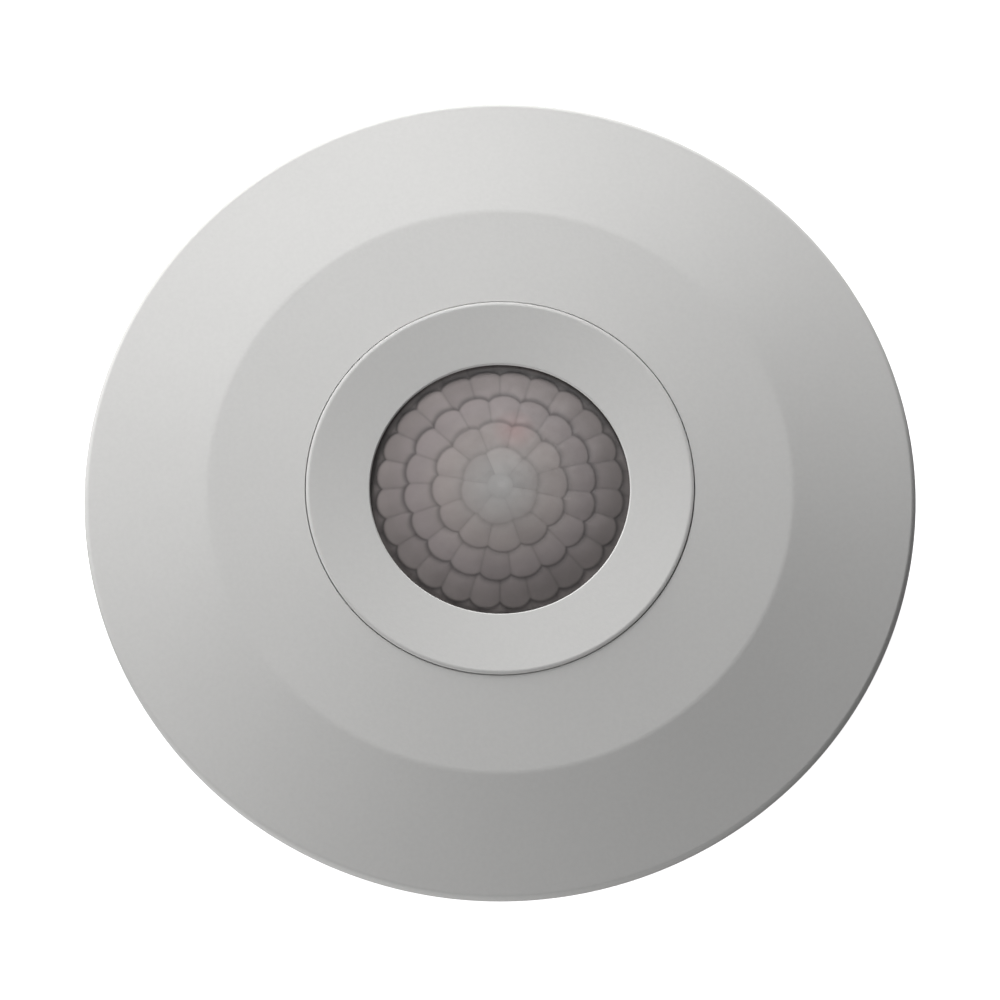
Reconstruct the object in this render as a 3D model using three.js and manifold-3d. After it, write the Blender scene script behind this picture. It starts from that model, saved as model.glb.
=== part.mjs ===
// Ceiling-mount passive infrared motion sensor, low-profile round housing.
// Millimetres, +Z points away from the mounting surface, z = 0 is the flat back of the base.
// The housing is a tray-shaped base, a push-on cover and a twist-lock ring that holds the lens.
import * as THREE from "three";
import { mergeVertices } from "three/addons/utils/BufferGeometryUtils.js";
import Module from "manifold-3d";

const wasm = await Module();
wasm.setup();

// ---------------------------------------------------------------- driving dimensions
const SEG = 72; // facets round the large rings
const RIM_R = 50.41, RIM_Z = 18.6, RIM_FILLET = 1.3; // sharp corner of the rim before its fillet: finished radius 50.0
const SKIRT_R = 44.2, SKIRT_IN = 42.5, SKIRT_Z = 0.6; // lower edge of the tapering skirt
const CREASE_R = 35.2, CREASE_Z = 22.1; // where the outer cone meets the shallower inner cone
const POCKET_R = 23.45, POCKET_TOP = 23.27, POCKET_FLOOR = 20.0; // pocket for the lens ring
const SHELF_IN = 18.6, SHELF_UNDER = 18.8, TUBE_OUT = 25.4;
const RING_R = 23.15, RING_TOP = 23.5, RING_UNDER = 21.0; // lens ring
const APERTURE_R = 15.6, LIP_TOP = 22.9, LIP_UNDER = 22.53; // opening over the lens, with a thin lip
const LENS_APEX = 24.23, LENS_R = 64, LENS_WALL = 0.7, LENS_EDGE = 17.5, FLANGE_R = 20.9;
const BASE_R = 41.9, BASE_WALL = 1.7, BASE_TOP = 11.0, FLOOR_UNDER = 0.8, FLOOR = 2.4;
const BOARD_R = 37.5, BOARD_Z = 6.0, BOARD_TOP = 7.6, ON_BOARD = 7.65;
const BAYONET_AT = [75, 195, 315], BAYONET_SLOT = 30; // degrees
const FINGERS_AT = [30, 150, 270]; // cover snap fingers
const SLOT_X = 30; // fixing slots, 60 mm apart
const BOSSES = [[-23, 25], [26, -20], [-26, -20]], PEG = [25, 22.5];
const TAMPER = [28.5, -12], TRIMMER = [24, 14], DIP = [14, 25], LED = [2.2, 8.8];
const TERMINALS = 6, PITCH = 5.0, TERMINAL_Y = -22.9;

// ---------------------------------------------------------------- geometry helpers
function solid(geometry) {
  const g = geometry.index ? geometry.toNonIndexed() : geometry.clone();
  for (const a of Object.keys(g.attributes)) if (a !== "position") g.deleteAttribute(a);
  const m = mergeVertices(g, 1e-4);
  const i = m.index.array, tri = [];
  for (let k = 0; k < i.length; k += 3)
    if (i[k] !== i[k + 1] && i[k + 1] !== i[k + 2] && i[k] !== i[k + 2]) tri.push(i[k], i[k + 1], i[k + 2]);
  const make = (t) =>
    new wasm.Manifold(
      new wasm.Mesh({ numProp: 3, vertProperties: new Float32Array(m.attributes.position.array), triVerts: new Uint32Array(t) }),
    );
  const s = make(tri);
  if (s.volume() > 0) return s;
  const flipped = [];
  for (let k = 0; k < tri.length; k += 3) flipped.push(tri[k], tri[k + 2], tri[k + 1]);
  return make(flipped);
}

function geometryOf(s) {
  const m = s.getMesh(), n = m.numProp, p = new Float32Array(m.numVert * 3);
  for (let i = 0; i < m.numVert; i++) p.set(m.vertProperties.subarray(i * n, i * n + 3), i * 3);
  const g = new THREE.BufferGeometry()
    .setAttribute("position", new THREE.BufferAttribute(p, 3))
    .setIndex(new THREE.BufferAttribute(new Uint32Array(m.triVerts), 1))
    .toNonIndexed();
  g.computeVertexNormals();
  return g;
}

const join = (...all) => all.flat().reduce((a, b) => a.add(b));
const cut = (a, ...all) => all.flat().reduce((x, y) => x.subtract(y), a);

// Corners are [r, z] or [r, z, fillet, steps]. Returns the polyline with its fillets.
function rounded(corners, closed = true) {
  const out = [], n = corners.length;
  corners.forEach(([x, y, r = 0, steps = 3], i) => {
    if (!r || (!closed && (i === 0 || i === n - 1))) return out.push([x, y]);
    const p = corners[(i + n - 1) % n], q = corners[(i + 1) % n];
    const c = new THREE.Vector2(x, y);
    const a = new THREE.Vector2(p[0], p[1]).sub(c).normalize(), b = new THREE.Vector2(q[0], q[1]).sub(c).normalize();
    const half = Math.acos(THREE.MathUtils.clamp(a.dot(b), -1, 1)) / 2;
    const back = r / Math.tan(half), away = r / Math.sin(half);
    const centre = a.clone().add(b).normalize().multiplyScalar(away).add(c);
    const s = a.clone().multiplyScalar(back).add(c).sub(centre), e = b.clone().multiplyScalar(back).add(c).sub(centre);
    let t0 = Math.atan2(s.y, s.x), t1 = Math.atan2(e.y, e.x);
    if (t1 - t0 > Math.PI) t1 -= 2 * Math.PI;
    if (t0 - t1 > Math.PI) t1 += 2 * Math.PI;
    for (let k = 0; k <= steps; k++) {
      const t = t0 + ((t1 - t0) * k) / steps;
      out.push([centre.x + r * Math.cos(t), centre.y + r * Math.sin(t)]);
    }
  });
  return out;
}

// A profile of [r, z] turned about Z. A profile that doesn't touch the axis is closed on itself.
function revolve(profile, segments = SEG) {
  const pts = profile.map(([r, z]) => new THREE.Vector2(r, z));
  if (profile[0][0] > 1e-6 || profile[profile.length - 1][0] > 1e-6) pts.push(pts[0].clone());
  return solid(new THREE.LatheGeometry(pts, segments).rotateX(Math.PI / 2));
}

function box(x0, x1, y0, y1, z0, z1) {
  return solid(
    new THREE.BoxGeometry(x1 - x0, y1 - y0, z1 - z0).translate((x0 + x1) / 2, (y0 + y1) / 2, (z0 + z1) / 2),
  );
}

function post(r, z0, z1, x = 0, y = 0, segments = 20) {
  return solid(
    new THREE.CylinderGeometry(r, r, z1 - z0, segments).rotateX(Math.PI / 2).translate(x, y, (z0 + z1) / 2),
  );
}

function prism(points, z0, z1) {
  const shape = new THREE.Shape(points.map(([x, y]) => new THREE.Vector2(x, y)));
  return solid(new THREE.ExtrudeGeometry(shape, { depth: z1 - z0, bevelEnabled: false }).translate(0, 0, z0));
}

// A block between two radii and two angles in degrees.
function sector(r0, r1, a0, a1, z0, z1, steps = 6) {
  const rad = THREE.MathUtils.degToRad, pts = [];
  for (let k = 0; k <= steps; k++) {
    const t = rad(a0 + ((a1 - a0) * k) / steps);
    pts.push([r1 * Math.cos(t), r1 * Math.sin(t)]);
  }
  for (let k = steps; k >= 0; k--) {
    const t = rad(a0 + ((a1 - a0) * k) / steps);
    pts.push([r0 * Math.cos(t), r0 * Math.sin(t)]);
  }
  return prism(pts, z0, z1);
}

// A slot with round ends: centre, full width, full length, along X or Y.
function slotShape(cx, cy, width, length, alongY) {
  const r = width / 2, h = length / 2 - r, pts = [];
  for (let k = 0; k <= 8; k++) {
    const t = -Math.PI / 2 + (Math.PI * k) / 8;
    pts.push([h + r * Math.cos(t), r * Math.sin(t)]);
  }
  for (let k = 0; k <= 8; k++) {
    const t = Math.PI / 2 + (Math.PI * k) / 8;
    pts.push([-h + r * Math.cos(t), r * Math.sin(t)]);
  }
  return pts.map(([x, y]) => (alongY ? [cx - y, cy + x] : [cx + x, cy + y]));
}

const turned = (s, deg) => s.rotate([0, 0, deg]);

// ---------------------------------------------------------------- the assembly
const sensor = new THREE.Group();
sensor.name = "motion_sensor";
const plastic = (hex, roughness = 0.5) => new THREE.MeshStandardMaterial({ color: hex, roughness, metalness: 0 });
const metal = (hex, roughness = 0.35) => new THREE.MeshStandardMaterial({ color: hex, roughness, metalness: 1 });
const WHITE = plastic(0xdcdcd8, 0.55), MILKY = plastic(0x98928f, 0.4), GREEN = plastic(0x1f5a3a, 0.45);
const BLACK = plastic(0x17181a, 0.5), BLUE = plastic(0x2a6fa8, 0.5), STEEL = metal(0xc4c6c8), BRASS = metal(0xc9a857);

function add(name, s, material, position) {
  const mesh = new THREE.Mesh(geometryOf(s), material);
  mesh.name = name;
  if (position) mesh.position.set(...position);
  sensor.add(mesh);
  return mesh;
}

// ---- base: round tray with fixing slots, cable entry, board bosses and three snap fingers
{
  let base = revolve([
    [0, FLOOR_UNDER], [34.6, FLOOR_UNDER], [35.4, 0], [BASE_R - 0.6, 0], [BASE_R, 0.6], [BASE_R, BASE_TOP],
    [BASE_R - BASE_WALL, BASE_TOP], [BASE_R - BASE_WALL, FLOOR], [0, FLOOR],
  ]);
  for (const [x, y] of BOSSES) base = base.add(post(3.0, FLOOR - 0.4, BOARD_Z - 0.1, x, y, 18));
  base = base.add(post(3.0, FLOOR - 0.4, BOARD_Z - 0.1, PEG[0], PEG[1], 18));
  base = base.add(post(1.3, FLOOR, 9.0, PEG[0], PEG[1], 14));
  // raised seats round the two fixing slots, and shallow stiffening ribs
  base = base.add(prism(slotShape(-SLOT_X, 0, 8.2, 13.6, true), FLOOR - 0.3, 3.3));
  base = base.add(prism(slotShape(SLOT_X, 0, 8.2, 12.6, false), FLOOR - 0.3, 3.3));
  for (const a of [48, 132, 218, 322]) base = base.add(turned(box(10, 29, -0.6, 0.6, FLOOR - 0.3, 3.9), a));
  base = base.add(cut(post(10.6, FLOOR - 0.3, 3.9, 0, 0, 32), post(9.4, 0, 5, 0, 0, 32)));
  for (const a of FINGERS_AT) {
    base = base.add(sector(BASE_R - BASE_WALL + 0.05, BASE_R - 0.05, a - 5.2, a + 5.2, BASE_TOP - 0.4, 13.8, 4));
    base = base.add(sector(BASE_R - 0.8, BASE_R + 0.45, a - 4.4, a + 4.4, 11.8, 13.4, 4));
    for (const s of [-6.3, 6.3]) base = cut(base, turned(box(38, 44, -0.6, 0.6, FLOOR + 0.6, 12.2), a + s));
  }
  base = cut(
    base,
    BOSSES.map(([x, y]) => post(1.35, 2.6, 8, x, y, 14)),
    prism(slotShape(-SLOT_X, 0, 4.6, 10.0, true), -1, 6),
    prism(slotShape(SLOT_X, 0, 4.6, 9.0, false), -1, 6),
    prism([[-10, -35], [-8.6, -36.6], [8.6, -36.6], [10, -35], [10, -30.2], [8.6, -28.6], [-8.6, -28.6], [-10, -30.2]], -1, 5),
    box(-2.6, 2.6, 38, 44, 5, 12),
  );
  add("base_plate", base, WHITE);
}

// ---- cover: rim, outer cone, inner cone, pocket with slotted shelf, tapering skirt
{
  let cover = revolve(
    rounded([
      [SKIRT_R, SKIRT_Z], [RIM_R, RIM_Z, RIM_FILLET, 3], [CREASE_R, CREASE_Z, 5.6, 2], [POCKET_R, POCKET_TOP, 0.35, 1],
      [POCKET_R, POCKET_FLOOR], [SHELF_IN, POCKET_FLOOR], [SHELF_IN, SHELF_UNDER], [TUBE_OUT, SHELF_UNDER],
      [TUBE_OUT, 20.9], [35.0, 19.85], [47.9, 16.85], [SKIRT_IN, SKIRT_Z],
    ]),
  );
  for (const a of FINGERS_AT) cover = cover.add(sector(42.55, 46.3, a - 6, a + 6, 9.3, 11.4, 4));
  cover = cover.add(box(-1.9, 1.9, 40.6, 45.6, 6.6, 17.4));
  cover = cover.add(post(2.2, 18.5, 20.9, TAMPER[0], TAMPER[1], 16));
  cover = cover.add(box(-1, 1, -21.0, -19.5, POCKET_FLOOR - 0.2, 20.8));
  cover = cut(
    cover,
    BAYONET_AT.map((a) => sector(21.2, 23.2, a, a + BAYONET_SLOT, SHELF_UNDER - 0.5, POCKET_FLOOR + 0.5, 8)),
    box(-3, 3, -47, -41, 0, 2.0),
  );
  add("front_cover", cover, WHITE);
}

// ---- lens ring: shallow funnel face round the aperture, three bayonet feet below
{
  let ring = revolve(
    rounded([
      [APERTURE_R, LIP_UNDER], [APERTURE_R, LIP_TOP, 0.3, 2], [RING_R, RING_TOP, 0.35, 3], [RING_R, RING_UNDER],
      [21.4, RING_UNDER], [21.4, 22.3], [19.2, 22.2], [19.2, RING_UNDER], [17.9, RING_UNDER], [17.9, 21.93],
    ]),
    60,
  );
  for (const a of BAYONET_AT) {
    ring = ring.add(sector(21.55, 22.85, a + 1, a + 8, 17.7, RING_UNDER + 0.6, 3));
    ring = ring.add(sector(21.55, 22.85, a - 7, a + 8, 17.7, 18.6, 5));
  }
  add("lens_bezel", ring, WHITE);
}

// ---- lens: shallow dome that runs on under the ring, with a flat flange
{
  const centre = LENS_APEX - LENS_R, outer = [], inner = [];
  const zAt = (r, radius) => centre + Math.sqrt(radius * radius - r * r);
  for (const r of [0, 4, 8, 12, 15, LENS_EDGE]) outer.push([r, zAt(r, LENS_R)]);
  for (const r of [16.8, 12, 8, 4, 0]) inner.push([r, zAt(r, LENS_R - LENS_WALL)]);
  const lens = revolve([...outer, [LENS_EDGE, 20.9], [FLANGE_R, 20.9], [FLANGE_R, 20.1], [16.8, 20.1], ...inner], 54);
  add("fresnel_lens", cut(lens, box(-1.4, 1.4, -21.6, -19.1, 19, 22)), MILKY);
}

// ---- circuit board, cut back for the wires and for access to the two fixing slots
add(
  "circuit_board",
  cut(
    post(BOARD_R, BOARD_Z, BOARD_TOP, 0, 0, 64),
    box(-40, 40, -40, -27.5, 5, 9),
    box(-40, -24.5, -8, 8, 5, 9),
    box(24, 40, -5.5, 5.5, 5, 9),
    [...BOSSES, PEG].map(([x, y]) => post(1.6, 5, 9, x, y, 14)),
  ),
  GREEN,
);

// ---- infrared detector on its spacer, with its filter window and foam seal
add("pyro_spacer", post(5.0, ON_BOARD, 8.4, 0, 0, 24), BLACK);
add(
  "pyro_can",
  cut(
    revolve([[0, 8.45], [4.9, 8.45], [4.9, 8.95], [4.15, 8.95], [4.15, 12.15], [3.9, 12.4], [0, 12.4]], 32),
    box(-2.1, 2.1, -1.6, 1.6, 12.0, 13),
  ),
  STEEL,
);
add("pyro_filter_window", box(-2.0, 2.0, -1.5, 1.5, 12.05, 12.42), BLACK);
add("pyro_foam_seal", cut(post(7.0, 7.7, 11.0, 0, 0, 28), post(5.1, 7, 12, 0, 0, 28)), BLACK);
add("status_led", revolve([[0, 0], [1.9, 0], [1.9, 0.95], [1.5, 0.95], [1.5, 3.3], [1.3, 3.95], [0.8, 4.45], [0, 4.65]], 18), plastic(0xd84a48, 0.2), [LED[0], LED[1], ON_BOARD]);

// ---- terminal block with six rising-cage clamps
{
  let housing = box(-15.4, 15.4, -27.0, -18.6, ON_BOARD, 17.2);
  housing = cut(housing, box(-16, 16, -28, -25.9, 15.3, 18));
  for (let k = 0; k < TERMINALS; k++) {
    const x = (k - (TERMINALS - 1) / 2) * PITCH;
    housing = cut(
      housing,
      post(2.05, 13.4, 18, x, TERMINAL_Y, 14),
      box(x - 1.95, x + 1.95, -25.6, -20.2, 8.3, 13.9),
      box(x - 1.5, x + 1.5, -28, -25.4, 9.0, 12.2),
    );
    const screw = cut(
      join(post(1.85, 1.5, 3.0, 0, 0, 16), post(0.95, -2.9, 1.6, 0, 0, 12)),
      turned(box(-2.2, 2.2, -0.3, 0.3, 2.2, 3.4), 25 + 47 * k),
    );
    add("terminal_screw_" + (k + 1), screw, STEEL, [x, TERMINAL_Y, 13.4]);
    const clamp = cut(
      box(-1.7, 1.7, -2.4, 2.3, 8.6, 12.6),
      box(-1.2, 1.2, -3, 3, 9.4, 11.7),
      post(1.2, 11, 13, 0, 0, 12),
    );
    add("terminal_clamp_" + (k + 1), clamp, BRASS, [x, TERMINAL_Y, 0]);
  }
  add("terminal_block_housing", housing, BLUE);
}

// ---- alarm relay, capacitors and integrated circuits
add("alarm_relay", box(-24.5, -9.5, 12.2, 19.8, ON_BOARD, 15.6), BLACK);
for (const [i, x, y, h] of [[1, -8, 28, 9.0], [2, 1.5, 28.5, 7.6]])
  add("electrolytic_capacitor_" + i, revolve([[0, 0], [2.9, 0], [3.15, 0.4], [3.15, h - 0.5], [2.7, h], [0, h]], 20), BLACK, [x, y, ON_BOARD]);
add("microcontroller", box(9.8, 18.6, 8.6, 12.6, 7.75, 9.4), BLACK);
add("amplifier_ic", box(-15.2, -11.2, -7.0, 1.8, 7.75, 9.4), BLACK);

// ---- tamper switch: the cover's post holds the sprung plunger down
{
  const [x, y] = TAMPER;
  add("tamper_switch_body", cut(box(x - 3.1, x + 3.1, y - 3.1, y + 3.1, ON_BOARD, 11.6), post(1.5, 8.8, 12, x, y, 16)), BLACK);
  add("tamper_plunger", join(post(1.25, 9.6, 17.4, 0, 0, 16), post(2.5, 17.2, 18.3, 0, 0, 20)), plastic(0xd8d2c4, 0.5), [x, y, 0]);
  const turns = 5, coil = [];
  for (let k = 0; k <= turns * 12; k++) {
    const t = (k / 12) * 2 * Math.PI, u = k / (turns * 12);
    coil.push(new THREE.Vector3(1.95 * Math.cos(t), 1.95 * Math.sin(t), 11.98 + 4.85 * u));
  }
  const section = new THREE.Shape(
    Array.from({ length: 6 }, (_, i) => new THREE.Vector2(0.27 * Math.cos((i * Math.PI) / 3), 0.27 * Math.sin((i * Math.PI) / 3))),
  );
  const wire = new THREE.ExtrudeGeometry(section, { steps: turns * 12, bevelEnabled: false, extrudePath: new THREE.CatmullRomCurve3(coil) });
  add("tamper_spring", solid(wire), STEEL, [x, y, 0]);
}

// ---- option switches and range trimmer
{
  const [x, y] = DIP;
  const ways = [x - 2.5, x, x + 2.5];
  add(
    "dip_switch_body",
    cut(box(x - 4.1, x + 4.1, y - 3, y + 3, ON_BOARD, 10.9), ways.map((w) => box(w - 0.65, w + 0.65, y - 1.6, y + 1.6, 9.7, 11.5))),
    BLUE,
  );
  ways.forEach((w, i) => add("dip_slider_" + (i + 1), box(-0.5, 0.5, -0.7, 0.7, 9.8, 11.5), WHITE, [w, y - 0.8, 0]));
  const [tx, ty] = TRIMMER;
  add("trimmer_body", cut(box(tx - 3.3, tx + 3.3, ty - 3.3, ty + 3.3, ON_BOARD, 11.2), post(2.75, 9.9, 12, tx, ty, 24)), BLUE);
  add(
    "trimmer_rotor",
    cut(post(2.55, 0, 1.7, 0, 0, 24), box(-1.9, 1.9, -0.35, 0.35, 1.0, 2), box(-0.35, 0.35, -1.9, 1.9, 1.0, 2)),
    WHITE,
    [tx, ty, 10.0],
  );
}

// ---- three pan-head screws hold the board
BOSSES.forEach(([x, y], i) => {
  const screw = cut(
    join(revolve([[0, 0], [2.6, 0], [2.6, 0.9], [1.9, 1.6], [0, 1.75]], 18), post(1.15, -4.8, 0.1, 0, 0, 12)),
    turned(box(-1.5, 1.5, -0.3, 0.3, 0.9, 2.4), 20 + 35 * i),
    turned(box(-1.5, 1.5, -0.3, 0.3, 0.9, 2.4), 110 + 35 * i),
  );
  add("board_screw_" + (i + 1), screw, STEEL, [x, y, 7.7]);
});

export default sensor;
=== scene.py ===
import math

import bmesh
import bpy
import numpy as np
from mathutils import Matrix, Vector


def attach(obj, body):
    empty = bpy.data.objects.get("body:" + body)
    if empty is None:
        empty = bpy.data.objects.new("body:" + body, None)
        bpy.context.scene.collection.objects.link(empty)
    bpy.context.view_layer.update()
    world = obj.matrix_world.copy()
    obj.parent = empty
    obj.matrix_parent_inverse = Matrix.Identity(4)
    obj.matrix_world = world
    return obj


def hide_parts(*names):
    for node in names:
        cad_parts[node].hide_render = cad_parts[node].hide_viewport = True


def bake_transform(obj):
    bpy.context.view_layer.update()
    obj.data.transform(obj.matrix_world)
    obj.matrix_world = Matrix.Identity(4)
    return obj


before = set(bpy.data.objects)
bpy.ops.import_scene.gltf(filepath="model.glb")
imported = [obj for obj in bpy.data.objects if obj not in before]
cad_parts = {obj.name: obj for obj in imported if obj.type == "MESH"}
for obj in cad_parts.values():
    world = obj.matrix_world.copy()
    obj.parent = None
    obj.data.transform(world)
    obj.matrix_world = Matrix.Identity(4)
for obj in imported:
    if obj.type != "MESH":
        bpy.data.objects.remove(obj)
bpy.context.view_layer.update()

MM = 0.001
SCENE = bpy.context.scene
RNG = np.random.default_rng(41)


# ------------------------------------------------------------------ mesh helpers (dimensions in mm)
def new_object(name, verts, faces):
    verts = np.asarray(verts, float) * MM
    me = bpy.data.meshes.new(name)
    me.from_pydata(verts.tolist(), [], [tuple(f) for f in faces])
    me.update()
    if signed_volume(me) < 0:
        me.flip_normals()
    ob = bpy.data.objects.new(name, me)
    SCENE.collection.objects.link(ob)
    return ob


def signed_volume(me):
    me.calc_loop_triangles()
    n = len(me.loop_triangles)
    if not n:
        return 0.0
    co = np.zeros(len(me.vertices) * 3)
    me.vertices.foreach_get("co", co)
    co = co.reshape(-1, 3)
    t = np.zeros(n * 3, np.int32)
    me.loop_triangles.foreach_get("vertices", t)
    t = t.reshape(-1, 3)
    a, b, c = co[t[:, 0]], co[t[:, 1]], co[t[:, 2]]
    return float(np.einsum("ij,ij->i", a, np.cross(b, c)).sum() / 6)


def rounded(corners, closed=True):
    """Corners are (r, z) or (r, z, fillet, steps)."""
    out, n = [], len(corners)
    for i, c in enumerate(corners):
        x, y = c[0], c[1]
        r = c[2] if len(c) > 2 else 0
        steps = c[3] if len(c) > 3 else 6
        if not r or (not closed and i in (0, n - 1)):
            out.append((x, y))
            continue
        p, q = np.array(corners[i - 1][:2], float), np.array(corners[(i + 1) % n][:2], float)
        o = np.array([x, y], float)
        a, b = p - o, q - o
        a, b = a / np.linalg.norm(a), b / np.linalg.norm(b)
        half = math.acos(float(np.clip(a @ b, -1, 1))) / 2
        back, away = r / math.tan(half), r / math.sin(half)
        m = a + b
        centre = o + m / np.linalg.norm(m) * away
        s, e = o + a * back - centre, o + b * back - centre
        t0, t1 = math.atan2(s[1], s[0]), math.atan2(e[1], e[0])
        if t1 - t0 > math.pi:
            t1 -= 2 * math.pi
        if t0 - t1 > math.pi:
            t1 += 2 * math.pi
        for k in range(steps + 1):
            t = t0 + (t1 - t0) * k / steps
            out.append((centre[0] + r * math.cos(t), centre[1] + r * math.sin(t)))
    return out


def lathe(name, profile, segs=192, at=(0, 0, 0)):
    verts, rows, faces = [], [], []
    ring = [(math.cos(2 * math.pi * k / segs), math.sin(2 * math.pi * k / segs)) for k in range(segs)]
    for r, z in profile:
        if r < 1e-6:
            rows.append([len(verts)])
            verts.append((at[0], at[1], z + at[2]))
        else:
            rows.append(list(range(len(verts), len(verts) + segs)))
            verts += [(at[0] + r * c, at[1] + r * s, z + at[2]) for c, s in ring]
    n = len(rows)
    for i in range(n if profile[0][0] > 1e-6 or profile[-1][0] > 1e-6 else n - 1):
        a, b = rows[i], rows[(i + 1) % n]
        for k in range(segs):
            j = (k + 1) % segs
            if len(a) == 1 and len(b) == 1:
                break
            if len(a) == 1:
                faces.append((a[0], b[k], b[j]))
            elif len(b) == 1:
                faces.append((a[k], b[0], a[j]))
            else:
                faces.append((a[k], b[k], b[j], a[j]))
    return new_object(name, verts, faces)


def extrude(name, points, z0, z1):
    n = len(points)
    verts = [(x, y, z0) for x, y in points] + [(x, y, z1) for x, y in points]
    faces = [tuple(range(n))[::-1], tuple(range(n, 2 * n))]
    faces += [(i, (i + 1) % n, n + (i + 1) % n, n + i) for i in range(n)]
    return new_object(name, verts, faces)


def block(name, x0, x1, y0, y1, z0, z1, bevel=0.0, segments=2):
    ob = extrude(name, [(x0, y0), (x1, y0), (x1, y1), (x0, y1)], z0, z1)
    if bevel:
        bevel_edges(ob, bevel, segments)
    return ob


def post(name, r, z0, z1, x=0.0, y=0.0, segs=48):
    return extrude(name, [(x + r * math.cos(2 * math.pi * k / segs), y + r * math.sin(2 * math.pi * k / segs)) for k in range(segs)], z0, z1)


def sector(name, r0, r1, a0, a1, z0, z1, steps=24):
    t = np.radians(np.linspace(a0, a1, steps + 1))
    pts = [(r1 * math.cos(v), r1 * math.sin(v)) for v in t] + [(r0 * math.cos(v), r0 * math.sin(v)) for v in t[::-1]]
    return extrude(name, pts, z0, z1)


def slot_points(cx, cy, width, length, along_y, steps=16):
    r, h = width / 2, length / 2 - width / 2
    pts = []
    for k in range(steps + 1):
        t = -math.pi / 2 + math.pi * k / steps
        pts.append((h + r * math.cos(t), r * math.sin(t)))
    for k in range(steps + 1):
        t = math.pi / 2 + math.pi * k / steps
        pts.append((-h + r * math.cos(t), r * math.sin(t)))
    return [(cx - y, cy + x) if along_y else (cx + x, cy + y) for x, y in pts]


def turn(ob, deg, about=(0.0, 0.0)):
    a = math.radians(deg)
    c, s = math.cos(a), math.sin(a)
    for v in ob.data.vertices:
        x, y = v.co.x - about[0] * MM, v.co.y - about[1] * MM
        v.co.x, v.co.y = about[0] * MM + c * x - s * y, about[1] * MM + s * x + c * y
    return ob


def bevel_edges(ob, width, segments=2, angle=32.0):
    bm = bmesh.new()
    bm.from_mesh(ob.data)
    edges = [e for e in bm.edges if len(e.link_faces) == 2 and e.calc_face_angle(0.0) > math.radians(angle)]
    bmesh.ops.bevel(bm, geom=edges, offset=width * MM, segments=segments, profile=0.5, affect="EDGES", clamp_overlap=True)
    bm.to_mesh(ob.data)
    bm.free()
    return ob


def merge(name, parts):
    """Several meshes as one object, kept as separate shells."""
    bm = bmesh.new()
    for p in parts:
        bm.from_mesh(p.data)
    me = bpy.data.meshes.new(name)
    bm.to_mesh(me)
    bm.free()
    for p in parts:
        drop(p)
    ob = bpy.data.objects.new(name, me)
    SCENE.collection.objects.link(ob)
    return ob


def drop(ob):
    me = ob.data
    bpy.data.objects.remove(ob)
    if me.users == 0:
        bpy.data.meshes.remove(me)


def boolean(ob, tools, operation):
    for t in tools:
        m = ob.modifiers.new("cut", "BOOLEAN")
        m.operation = operation
        m.solver = "MANIFOLD"
        m.object = t
    dg = bpy.context.evaluated_depsgraph_get()
    dg.update()
    me = bpy.data.meshes.new_from_object(ob.evaluated_get(dg))
    ob.modifiers.clear()
    old = ob.data
    ob.data = me
    bpy.data.meshes.remove(old)
    for t in tools:
        drop(t)
    return ob


def cut(ob, *tools):
    return boolean(ob, tools, "DIFFERENCE")


def join(ob, *tools):
    return boolean(ob, tools, "UNION")


def smooth(ob, angle=32.0, weighted=True):
    me = ob.data
    me.polygons.foreach_set("use_smooth", [True] * len(me.polygons))
    me.set_sharp_from_angle(angle=math.radians(angle))
    if weighted:
        m = ob.modifiers.new("weighted", "WEIGHTED_NORMAL")
        m.keep_sharp = True
        m.weight = 60
    return ob


def finish_piece(ob, mat, body, replaces=(), angle=32.0, weighted=True):
    smooth(ob, angle, weighted)
    if mat is not None:
        ob.data.materials.clear()
        ob.data.materials.append(mat)
    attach(ob, body)
    if replaces:
        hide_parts(*replaces)
    return ob


# ------------------------------------------------------------------ materials
def lin(v):
    v = v / 255.0
    return v / 12.92 if v <= 0.04045 else ((v + 0.055) / 1.055) ** 2.4


def rgb(r, g, b):
    return (lin(r), lin(g), lin(b), 1.0)


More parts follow.
